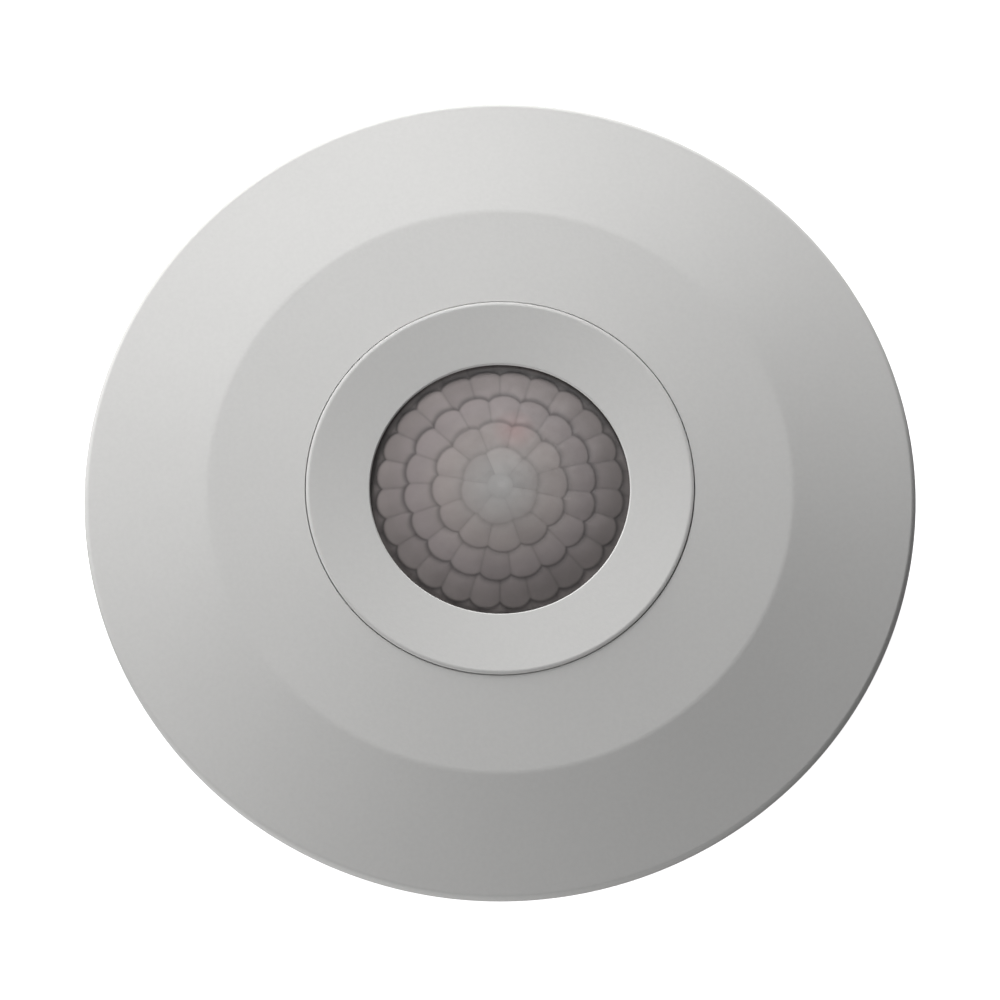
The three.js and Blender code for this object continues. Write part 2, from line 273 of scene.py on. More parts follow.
class Nodes:
    def __init__(self, name):
        self.mat = bpy.data.materials.new(name)
        self.mat.use_nodes = True
        self.nt = self.mat.node_tree
        self.nt.nodes.clear()
        self.out = self.nt.nodes.new("ShaderNodeOutputMaterial")
        self.bsdf = self.nt.nodes.new("ShaderNodeBsdfPrincipled")
        self.nt.links.new(self.bsdf.outputs["BSDF"], self.out.inputs["Surface"])
        self.tc = self.nt.nodes.new("ShaderNodeTexCoord")

    def link(self, a, b):
        self.nt.links.new(a, b)

    def node(self, kind, **values):
        n = self.nt.nodes.new(kind)
        for k, v in values.items():
            if hasattr(n, k) and k not in n.inputs:
                setattr(n, k, v)
            else:
                n.inputs[k].default_value = v
        return n

    def noise(self, scale, detail=2.0, rough=0.5, vector=None):
        n = self.node("ShaderNodeTexNoise", Scale=scale, Detail=detail, Roughness=rough)
        self.link(vector if vector is not None else self.tc.outputs["Object"], n.inputs["Vector"])
        return n.outputs["Fac"]

    def span(self, value, lo, hi, to_lo, to_hi):
        n = self.node("ShaderNodeMapRange")
        n.inputs["From Min"].default_value, n.inputs["From Max"].default_value = lo, hi
        n.inputs["To Min"].default_value, n.inputs["To Max"].default_value = to_lo, to_hi
        self.link(value, n.inputs["Value"])
        return n.outputs["Result"]

    def maths(self, op, a, b=None):
        n = self.node("ShaderNodeMath", operation=op)
        for i, v in enumerate((a, b)):
            if v is None:
                continue
            if isinstance(v, (int, float)):
                n.inputs[i].default_value = v
            else:
                self.link(v, n.inputs[i])
        return n.outputs[0]

    def mix(self, fac, a, b, blend="MIX"):
        n = self.nt.nodes.new("ShaderNodeMix")
        n.data_type = "RGBA"
        n.blend_type = blend
        for sock, v in ((n.inputs[0], fac), (n.inputs[6], a), (n.inputs[7], b)):
            if isinstance(v, (int, float, tuple)):
                sock.default_value = v
            else:
                self.link(v, sock)
        return n.outputs[2]

    def scaled(self, colour, value):
        """colour times a grey value."""
        n = self.nt.nodes.new("ShaderNodeVectorMath")
        n.operation = "SCALE"
        if isinstance(colour, tuple):
            n.inputs[0].default_value = colour[:3]
        else:
            self.link(colour, n.inputs[0])
        self.link(value, n.inputs["Scale"])
        return n.outputs[0]

    def bump(self, height, distance, strength=1.0, after=None):
        n = self.node("ShaderNodeBump")
        n.inputs["Strength"].default_value = strength
        n.inputs["Distance"].default_value = distance
        self.link(height, n.inputs["Height"])
        if after is not None:
            self.link(after, n.inputs["Normal"])
        return n.outputs["Normal"]


def set_values(bsdf, **values):
    for k, v in values.items():
        bsdf.inputs[k.replace("_", " ")].default_value = v


def moulded(name, colour, rough=0.5, grain=2400.0, depth=0.000012, vary=0.03, speck=0.02, rough_vary=0.06, specular=0.5, subsurface=0.0, wear=0.0):
    """Injection-moulded plastic: faint flow shading, fine spark-eroded grain."""
    n = Nodes(name)
    flow = n.span(n.noise(38.0, 3.0, 0.55), 0.3, 0.7, 1 - vary, 1 + vary)
    fine = n.span(n.noise(grain * 0.8, 1.0), 0.3, 0.7, 1 - speck, 1 + speck)
    tone = n.maths("MULTIPLY", flow, fine)
    n.link(n.scaled(colour, tone), n.bsdf.inputs["Base Color"])
    n.link(n.span(n.noise(260.0, 2.0), 0.3, 0.7, rough - rough_vary, rough + rough_vary), n.bsdf.inputs["Roughness"])
    first = n.bump(n.noise(grain, 2.0, 0.6), depth)
    n.link(n.bump(n.noise(90.0, 2.0), depth * 1.5, 0.6, first), n.bsdf.inputs["Normal"])
    set_values(n.bsdf, Specular_IOR_Level=specular)
    if subsurface:
        n.bsdf.inputs["Subsurface Weight"].default_value = subsurface
        n.bsdf.inputs["Subsurface Radius"].default_value = (0.0012, 0.001, 0.0009)
        n.bsdf.inputs["Subsurface Scale"].default_value = 1.0
    return n.mat


def plated(name, colour, rough=0.3, brush=(600.0, 600.0, 6000.0), depth=0.000004, vary=0.06, metal=1.0):
    """Plated or drawn metal with fine directional marks and dull spots."""
    n = Nodes(name)
    m = n.node("ShaderNodeMapping")
    n.link(n.tc.outputs["Object"], m.inputs["Vector"])
    m.inputs["Scale"].default_value = brush
    marks = n.noise(1.0, 3.0, 0.6, m.outputs["Vector"])
    spots = n.noise(420.0, 3.0, 0.6)
    tone = n.span(spots, 0.3, 0.7, 1 - vary, 1 + vary)
    n.link(n.scaled(colour, tone), n.bsdf.inputs["Base Color"])
    r = n.maths("ADD", n.span(marks, 0.3, 0.7, rough - 0.08, rough + 0.08), n.span(spots, 0.45, 0.75, 0.0, 0.12))
    n.link(r, n.bsdf.inputs["Roughness"])
    n.link(n.bump(marks, depth), n.bsdf.inputs["Normal"])
    set_values(n.bsdf, Metallic=metal)
    return n.mat


# lens colours from the middle outwards: the sheet's own tint, with painted shade darkening them towards the rim
LENS_TINTS_AND_SHADE = (rgb(168, 166, 165), rgb(158, 152, 150), rgb(154, 146, 144), rgb(144, 136, 136), rgb(130, 123, 122))  # centre outwards
SHELL = moulded("shell_white", rgb(214, 213.5, 212), rough=0.68, grain=2300, depth=0.000011, vary=0.014, speck=0.012, rough_vary=0.012, specular=0.24)
SHELL_IN = moulded("shell_white_base", rgb(212, 211, 207), rough=0.6, grain=1600, depth=0.000014, vary=0.03, speck=0.015, rough_vary=0.02, specular=0.3)
BLACK = moulded("black_epoxy", rgb(38, 38, 41), rough=0.55, grain=4200, depth=0.00001, vary=0.10, speck=0.12)
BLUE = moulded("blue_polyamide", rgb(28, 98, 158), rough=0.48, grain=3600, depth=0.000008, vary=0.05, speck=0.04)
IVORY = moulded("ivory_acetal", rgb(226, 221, 206), rough=0.42, grain=3000, depth=0.000006, vary=0.03, speck=0.02)
ZINC = plated("bright_zinc", (0.62, 0.63, 0.64, 1.0), rough=0.3)
NICKEL = plated("nickel_can", (0.60, 0.585, 0.55, 1.0), rough=0.24, brush=(500.0, 500.0, 9000.0))
BRASS = plated("clamp_brass", (0.66, 0.47, 0.20, 1.0), rough=0.32, brush=(3000.0, 600.0, 600.0))
TIN = plated("tinned_lead", (0.66, 0.66, 0.64, 1.0), rough=0.36, brush=(2500.0, 2500.0, 2500.0), depth=0.000006)
ALU = plated("capacitor_alu", (0.70, 0.71, 0.72, 1.0), rough=0.34, brush=(300.0, 6000.0, 300.0))
FOAM = moulded("black_foam", rgb(30, 30, 31), rough=0.9, grain=3000, depth=0.00012, vary=0.15, speck=0.25, specular=0.2)


# ------------------------------------------------------------------ driving dimensions shared with the solids
BAYONET_AT = (75, 195, 315)
FINGERS_AT = (30, 150, 270)
BOSSES = ((-23, 25), (26, -20), (-26, -20))
PEG = (25, 22.5)
TAMPER, TRIMMER, DIP, LED = (28.5, -12), (24, 14), (14, 25), (2.2, 8.8)
PITCH, TERMINAL_Y = 5.0, -22.9


# ------------------------------------------------------------------ cover
def make_cover():
    c = lathe("cover_shell", rounded([
        (44.2, 0.6, 0.25, 4), (50.25, 18.63, 0.8, 12), (35.2, 22.1, 5.6, 12), (23.4, 23.27, 0.07, 3),
        (23.4, 20.0), (18.6, 20.0, 0.2, 3), (18.6, 18.8, 0.2, 3), (25.4, 18.8, 0.3, 3),
        (25.4, 20.9), (35.0, 19.85), (47.9, 16.85, 0.8, 4), (42.5, 0.6, 0.2, 3),
    ]), 288)
    adds = [sector(f"t{a}", 42.55, 46.3, a - 6, a + 6, 9.3, 11.4) for a in FINGERS_AT]
    adds.append(block("t_key", -1.9, 1.9, 40.6, 45.6, 6.6, 17.4, 0.25))
    adds.append(post("t_post", 2.2, 18.5, 20.9, *TAMPER))
    adds.append(block("t_lenskey", -1, 1, -21.0, -19.5, 19.8, 20.8, 0.1))
    for a in range(15, 375, 30):  # stiffening ribs under the roof
        if abs((a - 337 + 180) % 360 - 180) > 6:  # clear of the tamper post
            adds.append(turn(block(f"t_rib{a}", 25.2, 39.5, -0.45, 0.45, 18.3, 20.6), a))
    join(c, *adds)
    cuts = [sector(f"t{a}", 21.2, 23.2, a, a + 30, 18.3, 20.5) for a in BAYONET_AT]
    cuts.append(block("t_notch", -3, 3, -47, -41, 0, 2.0, 0.3))
    cut(c, *cuts)
    return finish_piece(c, SHELL, "cover", ["front_cover"], 30)


def make_ring():
    b = lathe("lens_ring", rounded([
        (15.6, 22.53, 0.08, 3), (15.6, 22.9, 0.22, 8), (22.95, 23.46, 0.8, 10), (23.30, 23.36, 0.06, 3), (23.30, 21.0, 0.1, 2), (21.4, 21.0),
        (21.4, 22.3, 0.2, 3), (19.2, 22.2, 0.2, 3), (19.2, 21.0), (17.9, 21.0), (17.9, 21.93, 0.15, 3),
    ]), 288)
    adds = []
    for a in BAYONET_AT:
        adds.append(sector(f"n{a}", 21.55, 22.85, a + 1, a + 8, 17.7, 21.6, 10))
        adds.append(sector(f"f{a}", 21.55, 22.85, a - 7, a + 8, 17.7, 18.6, 16))
    join(b, *adds)
    return finish_piece(b, SHELL, "bezel", ["lens_bezel"], 30)


# ------------------------------------------------------------------ faceted lens
# facets in the ring, reach of its outer border, angle of a facet's middle, depth of the notches between facets, painted
# shade in the groove outside
RINGS = (
    (6, 4.80, 22.0, 0.38, 0.17),
    (12, 8.20, 4.0, 0.60, 0.36),
    (18, 11.60, 7.0, 0.66, 0.50),
    (24, 14.90, 7.5, 0.66, 0.54),
    (30, 18.30, 3.0, 0.66, 0.50),
)
LENS_CORE = 1.55
LENS_APEX, LENS_R, LENS_EDGE = 24.23, 64.0, 17.5


def spread(count, a, b):
    """One steady value from 0 to 1 for each facet of a ring."""
    return np.array([math.sin(c * a + b) * 43758.5453 % 1.0 for c in range(count)])


def facet_place(k, theta):
    count, _, phase, _, _ = RINGS[k]
    place = (theta - phase) * count / 360.0
    index = np.floor(place + 0.5)
    return (index % count).astype(int), (place - index) * 2  # which facet, -1..1 across it


def facet_border(k, theta):
    """Scalloped outer border of a ring of facets, mm from the middle."""
    if k < 0:
        return np.full_like(theta, LENS_CORE)
    count, reach, _, notch, _ = RINGS[k]
    index, s = facet_place(k, theta)
    jog = spread(count, 39.346, k * 11.135)[index]
    return reach + 0.10 * (jog - 0.5) - notch * (0.8 + 0.4 * jog) * np.abs(s) ** 2.3


def facet_fields(r, theta):
    """Height, tone (with painted groove shade, painted shade under the lip and a painted highlight) and distance from
    the facet's middle at polar points, r in mm and theta in degrees.
    """
    height, tone, cell = np.zeros_like(r), np.ones_like(r), np.zeros_like(r)
    # centre: one plain round facet, with a painted highlight in its middle
    mid = r < LENS_CORE
    height[mid] = 0.02 * (1 - (r[mid] / LENS_CORE) ** 2)
    tone[mid] = 1 + 0.10 * np.exp(-((r[mid] / 0.55) ** 2))
    cell[mid] = r[mid]
    # painted shade in the groove round the centre facet
    core_groove_shade = 1 - 0.05 * np.exp(-(((r - LENS_CORE) / 0.25) ** 2))
    for k, (count, reach, phase, _, dark) in enumerate(RINGS):
        inner, outer = facet_border(k - 1, theta), facet_border(k, theta)
        m = (r >= inner) & (r < outer)
        if not m.any():
            continue
        rr, inner, outer = r[m], inner[m], outer[m]
        index, s = facet_place(k, theta[m])
        lean, jog, way = spread(count, 12.9898, k * 78.233)[index], spread(count, 39.346, k * 11.135)[index], spread(count, 7.771, k * 5.31)[index] * 2 * math.pi
        t = np.clip((rr - inner) / np.maximum(outer - inner, 0.1), 0, 1)
        dome = (1 - (2 * t - 1) ** 2) * (1 - s * s)
        # painted shade in the groove round the foot of the ring inside this one, and along the facet's own rolled
        # border
        foot_shade = RINGS[k - 1][4] * np.exp(-(((rr - inner) / 0.40) ** 2)) if k else 0.0
        roll = dark * np.exp(-(((outer - rr) / 0.17) ** 2))
        side = (1 - np.abs(s)) * math.pi * rr / count
        line = (0.03, 0.10, 0.15, 0.17, 0.16)[k] * np.exp(-((side / (0.13 + 0.22 * t**4 + 0.12 * (1 - t) ** 4)) ** 2))
        slope = 0.035 * (s * np.cos(way) + (2 * t - 1) * np.sin(way))
        tone[m] = (1 - foot_shade) * (1 - roll) * (1 - line) * (0.92 + 0.15 * lean + 0.04 * dome + slope)
        # painted shade: the outermost ring is darkened where the ring's lip shadows the lens margin
        if k == 4:  # the margin under the ring's lip is darker
            tone[m] *= 0.74
        relief = (0.012, 0.03, 0.04, 0.045, 0.02)[k]
        height[m] = relief * (0.6 + 0.9 * jog) * dome - (0.012 * np.exp(-(((rr - inner) / 0.25) ** 2)) if k > 1 else 0.0)
        middle = reach - 1.8
        a, b = np.radians(index * 360.0 / count + phase), np.radians(theta[m])
        cell[m] = np.hypot(rr * np.cos(b) - middle * np.cos(a), rr * np.sin(b) - middle * np.sin(a))
    return height, tone * core_groove_shade, cell


def make_lens():
    M = 900
    theta = np.arange(M) * 360.0 / M
    ct, st = np.cos(np.radians(theta)), np.sin(np.radians(theta))
    rows_r, rows_z, rows_tone_and_shade, rows_cell = [], [], [], []

    def dome(r, radius):
        return LENS_APEX - LENS_R + np.sqrt(radius * radius - r * r)

    for r in np.concatenate([np.linspace(0.04, 4.6, 30), np.arange(4.7, 16.0, 0.1), np.arange(16.0, 17.5, 0.25)]):
        rr = np.full(M, r)
        h, tone, cell = facet_fields(rr, theta)
        rows_r.append(rr), rows_z.append(dome(rr, LENS_R) - 0.03 + h), rows_tone_and_shade.append(tone), rows_cell.append(cell)
    plain = [(LENS_EDGE - 0.08, dome(LENS_EDGE, LENS_R) - 0.04), (LENS_EDGE, dome(LENS_EDGE, LENS_R) - 0.14), (LENS_EDGE, 21.1), (17.7, 20.9), (20.8, 20.9), (20.9, 20.8), (20.9, 20.1), (16.8, 20.1)]
    plain += [(r, dome(r, LENS_R - 0.7)) for r in (16.8, 15, 13, 11, 9, 7, 5, 3, 1.5, 0.04)]
    for r, z in plain:
        rows_r.append(np.full(M, float(r))), rows_z.append(np.full(M, float(z)))
        rows_tone_and_shade.append(np.full(M, 0.9)), rows_cell.append(np.full(M, float(r)))
    verts, faces = [], []
    for r, z in zip(rows_r, rows_z):
        verts += list(zip(r * ct, r * st, z))
    n = len(rows_r)
    for i in range(n - 1):
        for k in range(M):
            j = (k + 1) % M
            faces.append((i * M + k, (i + 1) * M + k, (i + 1) * M + j, i * M + j))
    top, bottom = len(verts), len(verts) + 1
    verts += [(0, 0, float(rows_z[0].mean())), (0, 0, float(rows_z[-1].mean()))]
    for k in range(M):
        j = (k + 1) % M
        faces.append((top, k, j))
        faces.append((bottom, (n - 1) * M + j, (n - 1) * M + k))
    ob = new_object("lens_facets", verts, faces)
    tone = np.concatenate(rows_tone_and_shade + [np.array([1.0, 0.9])]).astype(np.float32)
    cell = np.concatenate(rows_cell + [np.array([0.0, 0.0])]).astype(np.float32)
    for name, values in (("tone", tone), ("cell", cell)):
        a = ob.data.attributes.new(name, "FLOAT", "POINT")
        a.data.foreach_set("value", values)
    key = block("lens_key_slot", -1.4, 1.4, -21.6, -19.1, 19, 22)
    cut(ob, key)
    return finish_piece(ob, lens_material(), "cover", ["fresnel_lens"], 60, False)


def lens_material():
    n = Nodes("lens_milky")
    # the tone attribute carries the painted groove shade, the painted shade under the lip and the painted centre
    # highlight
    tone = n.node("ShaderNodeAttribute", attribute_name="tone").outputs["Fac"]
    cell = n.node("ShaderNodeAttribute", attribute_name="cell").outputs["Fac"]
    sep = n.node("ShaderNodeSeparateXYZ")
    n.link(n.tc.outputs["Object"], sep.inputs[0])
    x, y = sep.outputs["X"], sep.outputs["Y"]
    radius = n.maths("POWER", n.maths("ADD", n.maths("MULTIPLY", x, x), n.maths("MULTIPLY", y, y)), 0.5)
    # lighter in the middle and darker towards the rim: the grey-to-mauve shift is the sheet's own tint, the darkening
    # is painted light on the middle and painted shade from the ring towards the rim
    base = n.mix(n.span(radius, 0.0010, 0.0046, 0.0, 1.0), LENS_TINTS_AND_SHADE[0], LENS_TINTS_AND_SHADE[1])
    base = n.mix(n.span(radius, 0.0042, 0.0064, 0.0, 1.0), base, LENS_TINTS_AND_SHADE[2])
    base = n.mix(n.span(radius, 0.0070, 0.0100, 0.0, 1.0), base, LENS_TINTS_AND_SHADE[3])
    base = n.mix(n.span(radius, 0.0105, 0.0135, 0.0, 1.0), base, LENS_TINTS_AND_SHADE[4])
    # the unlit red indicator shows faintly through the milky sheet
    lx, ly = n.maths("SUBTRACT", x, 0.0017), n.maths("SUBTRACT", y, 0.0071)
    spot = n.maths("POWER", n.maths("ADD", n.maths("MULTIPLY", lx, lx), n.maths("MULTIPLY", ly, ly)), 0.5)
    base = n.mix(n.span(spot, 0.0003, 0.0028, 0.19, 0.0), base, rgb(198, 128, 130))
    mottled = n.span(n.noise(420.0, 3.0, 0.6), 0.3, 0.7, 0.96, 1.04)
    n.link(n.scaled(base, n.maths("MULTIPLY", tone, mottled)), n.bsdf.inputs["Base Color"])
    n.link(n.span(n.noise(900.0, 2.0), 0.3, 0.7, 0.40, 0.52), n.bsdf.inputs["Roughness"])
    rings = n.maths("FRACT", n.maths("MULTIPLY", cell, 3.4))
    first = n.bump(rings, 0.000003, 0.5)
    n.link(n.bump(n.noise(1500.0, 2.0), 0.00001, 0.6, first), n.bsdf.inputs["Normal"])
    set_values(n.bsdf, Specular_IOR_Level=0.36, Subsurface_Weight=0.15)
    n.bsdf.inputs["Subsurface Radius"].default_value = (0.0009, 0.0008, 0.0008)
    n.bsdf.inputs["Subsurface Scale"].default_value = 1.0
    return n.mat


# ------------------------------------------------------------------ base
def make_base():
    b = lathe("base_tray", rounded([
        (0, 0.8), (34.6, 0.8, 0.3, 3), (35.4, 0, 0.2, 3), (41.3, 0, 0.3, 3), (41.9, 0.6, 0.3, 3), (41.9, 11.0, 0.25, 3),
        (40.2, 11.0, 0.25, 3), (40.2, 2.4, 0.5, 4), (0, 2.4),
    ], closed=False), 240)
    adds = [post("b", 3.0, 2.0, 5.9, x, y) for x, y in (*BOSSES, PEG)]
    adds.append(post("peg", 1.3, 2.4, 8.7, *PEG, segs=32))
    adds.append(lathe("pegtip", [(0, 8.6), (1.3, 8.6), (0.9, 9.0), (0, 9.0)], 32, (*PEG, 0)))
    adds.append(extrude("s1", slot_points(-30, 0, 8.2, 13.6, True), 2.1, 3.3))
    adds.append(extrude("s2", slot_points(30, 0, 8.2, 12.6, False), 2.1, 3.3))
    adds += [turn(block("r", 10, 29, -0.6, 0.6, 2.1, 3.9), a) for a in (48, 132, 218, 322)]
    adds.append(lathe("hub", [(9.4, 2.1), (10.6, 2.1), (10.6, 3.9), (9.4, 3.9)], 96))
    for a in FINGERS_AT:
        adds.append(sector("f", 40.25, 41.85, a - 5.2, a + 5.2, 10.6, 13.8, 12))
        adds.append(sector("g", 41.1, 42.35, a - 4.4, a + 4.4, 11.8, 13.4, 12))
    join(b, *adds)
    cuts = [post("c", 1.35, 2.6, 8, x, y, 32) for x, y in BOSSES]
    cuts.append(extrude("c1", slot_points(-30, 0, 4.6, 10.0, True), -1, 6))
    cuts.append(extrude("c2", slot_points(30, 0, 4.6, 9.0, False), -1, 6))
    cuts.append(extrude("c3", rounded([(-10, -35.2), (-8.6, -36.6), (8.6, -36.6), (10, -35.2), (10, -30), (8.6, -28.6), (-8.6, -28.6), (-10, -30)]), -1, 5))
    cuts.append(block("c4", -2.6, 2.6, 38, 44, 5, 12))
    for a in FINGERS_AT:
        for s in (-6.3, 6.3):
            cuts.append(turn(block("c5", 38, 44, -0.6, 0.6, 3.0, 12.2), a + s))
    # back of the floor: ejector marks, two thin-walled knock-outs, a moulded ring groove round the middle
    for x, y in ((0, 22), (-20, -12), (20, -12), (-13, 14), (13, 14), (0, -10)):
        cuts.append(post("e", 1.5, 0.5, 0.92, x, y, 32))
    for x in (-17.0, 17.0):
        cuts.append(lathe("k", [(3.6, 0.5), (4.0, 0.5), (4.0, 1.5), (3.6, 1.5)], 48, (x, 24.0, 0)))
        cuts.append(lathe("k", [(3.0, 0.5), (3.3, 0.5), (3.3, 1.15), (3.0, 1.15)], 48, (x * 1.15, -24.0, 0)))
    cuts.append(lathe("k", [(24.0, 0.5), (24.5, 0.5), (24.5, 1.1), (24.0, 1.1)], 144))
    cut(b, *cuts)
    return finish_piece(b, SHELL_IN, "base", ["base_plate"], 30)


# ------------------------------------------------------------------ circuit board
def board_outline():
    def arc(a0, a1, n=60):
        return [(37.5 * math.cos(t), 37.5 * math.sin(t)) for t in np.linspace(a0, a1, n)]
    lo = math.asin(-27.5 / 37.5)
    right_lo, right_hi = math.asin(-5.5 / 37.5), math.asin(5.5 / 37.5)
    left_lo, left_hi = math.asin(-8 / 37.5), math.asin(8 / 37.5)
    pts = arc(lo, right_lo, 30) + [(24.0, -5.5), (24.0, 5.5)] + arc(right_hi, math.pi - left_hi, 90)
    pts += [(-24.5, 8.0), (-24.5, -8.0)] + arc(math.pi - left_lo, math.pi - lo, 30)
    return pts


def board_material():
    n = Nodes("solder_mask")
    weave = n.noise(1800.0, 2.0)
    vor = n.node("ShaderNodeTexVoronoi", Scale=210.0)
    vor.distance = "CHEBYCHEV"
    vor.feature = "DISTANCE_TO_EDGE"
    n.link(n.tc.outputs["Object"], vor.inputs["Vector"])
    pour = n.span(vor.outputs["Distance"], 0.02, 0.06, 0.0, 1.0)
    colour = n.mix(pour, rgb(22, 70, 44), rgb(30, 92, 56))
    tone = n.span(n.noise(60.0, 3.0), 0.3, 0.7, 0.92, 1.08)
    n.link(n.scaled(colour, tone), n.bsdf.inputs["Base Color"])
    n.link(n.span(weave, 0.3, 0.7, 0.26, 0.38), n.bsdf.inputs["Roughness"])
    first = n.bump(pour, 0.000012, 0.8)
    n.link(n.bump(weave, 0.000006, 0.8, first), n.bsdf.inputs["Normal"])
    return n.mat


def make_board():
    b = extrude("board_laminate", board_outline(), 6.0, 7.6)
    cut(b, *[post("h", 1.6, 5, 9, x, y, 40) for x, y in (*BOSSES, PEG)])
    finish_piece(b, board_material(), "base", ["circuit_board"], 30)

    keep = [  # x0, x1, y0, y1 of the parts that stand on the board
        (-7.3, 7.3, -7.3, 7.3), (0, 4.4, 6.6, 11), (-15.8, 15.8, -27.4, -18.2), (-24.8, -9.2, 11.9, 20.1), (-11.4, 4.9, 24.6, 31.9),
        (9.4, 19, 7.2, 14), (-16.6, -9.8, -7.4, 2.2), (25.1, 31.9, -15.4, -8.6), (9.6, 18.4, 21.7, 28.3), (20.4, 27.6, 10.4, 17.6),
    ]
    pads, traces, ink, chips, ends = [], [], [], [], []

    def free(x0, x1, y0, y1, gap=0.35):
        for c in ((x0, y0), (x1, y0), (x0, y1), (x1, y1)):
            if math.hypot(*c) > 36.3 or c[1] < -26.6:
                return False
            if c[0] < -23.7 and abs(c[1]) < 8.8 or c[0] > 23.2 and abs(c[1]) < 6.3:
                return False
            if any(math.hypot(c[0] - p[0], c[1] - p[1]) < 3.6 for p in (*BOSSES, PEG)):
                return False
        return all(x1 + gap < k[0] or x0 - gap > k[1] or y1 + gap < k[2] or y0 - gap > k[3] for k in keep)

    def chip(x, y, along_x, tan):
        hx, hy = (1.0, 0.62) if along_x else (0.62, 1.0)
        if not free(x - hx, x + hx, y - hy, y + hy):
            return
        keep.append((x - hx, x + hx, y - hy, y + hy))
        e = 0.34
        if along_x:
            chips.append((block("c", x - hx + e, x + hx - e, y - hy, y + hy, 7.64, 8.14, 0.04, 1), tan))
            for s in (-1, 1):
                xx = sorted((x + s * hx, x + s * (hx - e)))
                ends.append(block("e", *xx, y - hy, y + hy, 7.62, 8.16, 0.06, 1))
                pp = sorted((x + s * (hx - 0.3), x + s * (hx + 0.42)))
                pads.append(block("p", *pp, y - hy - 0.12, y + hy + 0.12, 7.59, 7.632))
        else:
            chips.append((block("c", x - hx, x + hx, y - hy + e, y + hy - e, 7.64, 8.14, 0.04, 1), tan))
            for s in (-1, 1):
                yy = sorted((y + s * hy, y + s * (hy - e)))
                ends.append(block("e", x - hx, x + hx, *yy, 7.62, 8.16, 0.06, 1))
                pp = sorted((y + s * (hy - 0.3), y + s * (hy + 0.42)))
                pads.append(block("p", x - hx - 0.12, x + hx + 0.12, *pp, 7.59, 7.632))
        ink.append((x - hx - 0.65, x + hx + 0.65, y - hy - 0.45, y + hy + 0.45) if along_x else (x - hx - 0.45, x + hx + 0.45, y - hy - 0.65, y + hy + 0.65))

    spots = [(11, -4, 1), (11, -7, 1), (15, -4, 1), (15, -7, 1), (19, -4, 0), (22, -3.6, 0), (19, -9, 0), (22, -9, 0), (9, -12, 0), (12, -12, 0), (15, -12.6, 0),
             (18, -13.6, 1), (-9, -12, 0), (-12, -11.4, 0), (-15, -11.4, 0), (-18, -11.4, 0), (-21, -11.4, 0), (-20, -6.4, 1), (-20, -3.4, 1), (-20, -0.4, 1),
             (-20, 2.6, 1), (-9.8, 6.2, 0), (-13, 6.2, 0), (-16.2, 6.2, 0), (-20, 6.6, 1), (-5, 11, 1), (-5, 14, 1), (-1.4, 13.4, 0), (6.6, 14, 0), (9, 17.6, 1),
             (13, 17.8, 1), (17, 18.2, 1), (4, 20.6, 0), (7, 21.6, 0), (-3, 20.8, 0), (-6, 21.2, 0), (20, 6.4, 1), (16, 4.4, 0), (12.6, 4, 0), (20, 2.6, 0),
             (30, 9, 0), (33, 8.6, 0), (31, 14, 0), (-29, 12, 0), (-32, 12, 0), (-30, 17.4, 1), (-30, 20.6, 1), (22, -16, 1), (-20, -16, 1), (-30, -12, 0), (-33, -12, 0),
             (32, -17.6, 0), (8, 31.4, 1), (12, 31.8, 1), (16.6, 31, 1), (-15, 30, 0), (-18.4, 29.4, 0), (22.4, 27.6, 0), (0, -12.4, 1), (0, -15.4, 1), (-4.4, -13, 0), (4.6, -13.6, 0)]
    for i, (x, y, h) in enumerate(spots):
        chip(x, y, bool(h), i % 3 == 0)

    # traces: right-angled and 45 degree runs between random free grid points
    cells = {}
    step = 0.95

    def blocked(gx, gy):
        key = (gx, gy)
        if key not in cells:
            x, y = gx * step, gy * step
            cells[key] = not free(x - 0.2, x + 0.2, y - 0.2, y + 0.2, 0.15)
        return cells[key]

    used = set()
    for _ in range(420):
        gx, gy = int(RNG.integers(-37, 38)), int(RNG.integers(-28, 37))
        d = int(RNG.integers(0, 8))
        path = []
        for _ in range(int(RNG.integers(4, 20))):
            if blocked(gx, gy) or (gx, gy) in used:
                break
            path.append((gx, gy))
            if RNG.random() < 0.22:
                d = (d + int(RNG.choice([-1, 1]))) % 8
            dx, dy = [(1, 0), (1, 1), (0, 1), (-1, 1), (-1, 0), (-1, -1), (0, -1), (1, -1)][d]
            if dx and dy and ((gx + dx, gy) in used and (gx, gy + dy) in used):
                break
            gx, gy = gx + dx, gy + dy
        if len(path) < 4:
            continue
        used.update(path)
        traces.append([(a * step, b * step) for a, b in path])
        for end in (path[0], path[-1]):
            if RNG.random() < 0.7:
                pads.append(lathe("v", [(0.17, 7.6), (0.38, 7.6), (0.38, 7.628), (0.17, 7.628)], 12, (end[0] * step, end[1] * step, 0)))
    strips = []
    for line in traces:
        w = 0.16
        simple = [line[0]]
        for i in range(1, len(line) - 1):
            a, b, c = np.array(line[i - 1]), np.array(line[i]), np.array(line[i + 1])
            if abs(np.cross(b - a, c - b)) > 1e-6:
                simple.append(line[i])
        simple.append(line[-1])
        for a, b in zip(simple[:-1], simple[1:]):
            a, b = np.array(a), np.array(b)
            t = (b - a) / np.linalg.norm(b - a)
            nrm = np.array([-t[1], t[0]]) * w
            a, b = a - t * w * 0.4, b + t * w * 0.4
            strips.append(extrude("t", [tuple(a - nrm), tuple(b - nrm), tuple(b + nrm), tuple(a + nrm)], 7.595, 7.618))
    track = moulded("masked_copper", rgb(44, 118, 72), rough=0.3, grain=5000, depth=0.000003, vary=0.06, speck=0.03)
    finish_piece(merge("board_tracks", strips), track, "base", (), 30, False)
    finish_piece(merge("board_pads", pads), TIN, "base", (), 30, False)
    tan = moulded("chip_ceramic", rgb(150, 112, 82), rough=0.5, grain=6000, depth=0.000004, vary=0.08, speck=0.06)
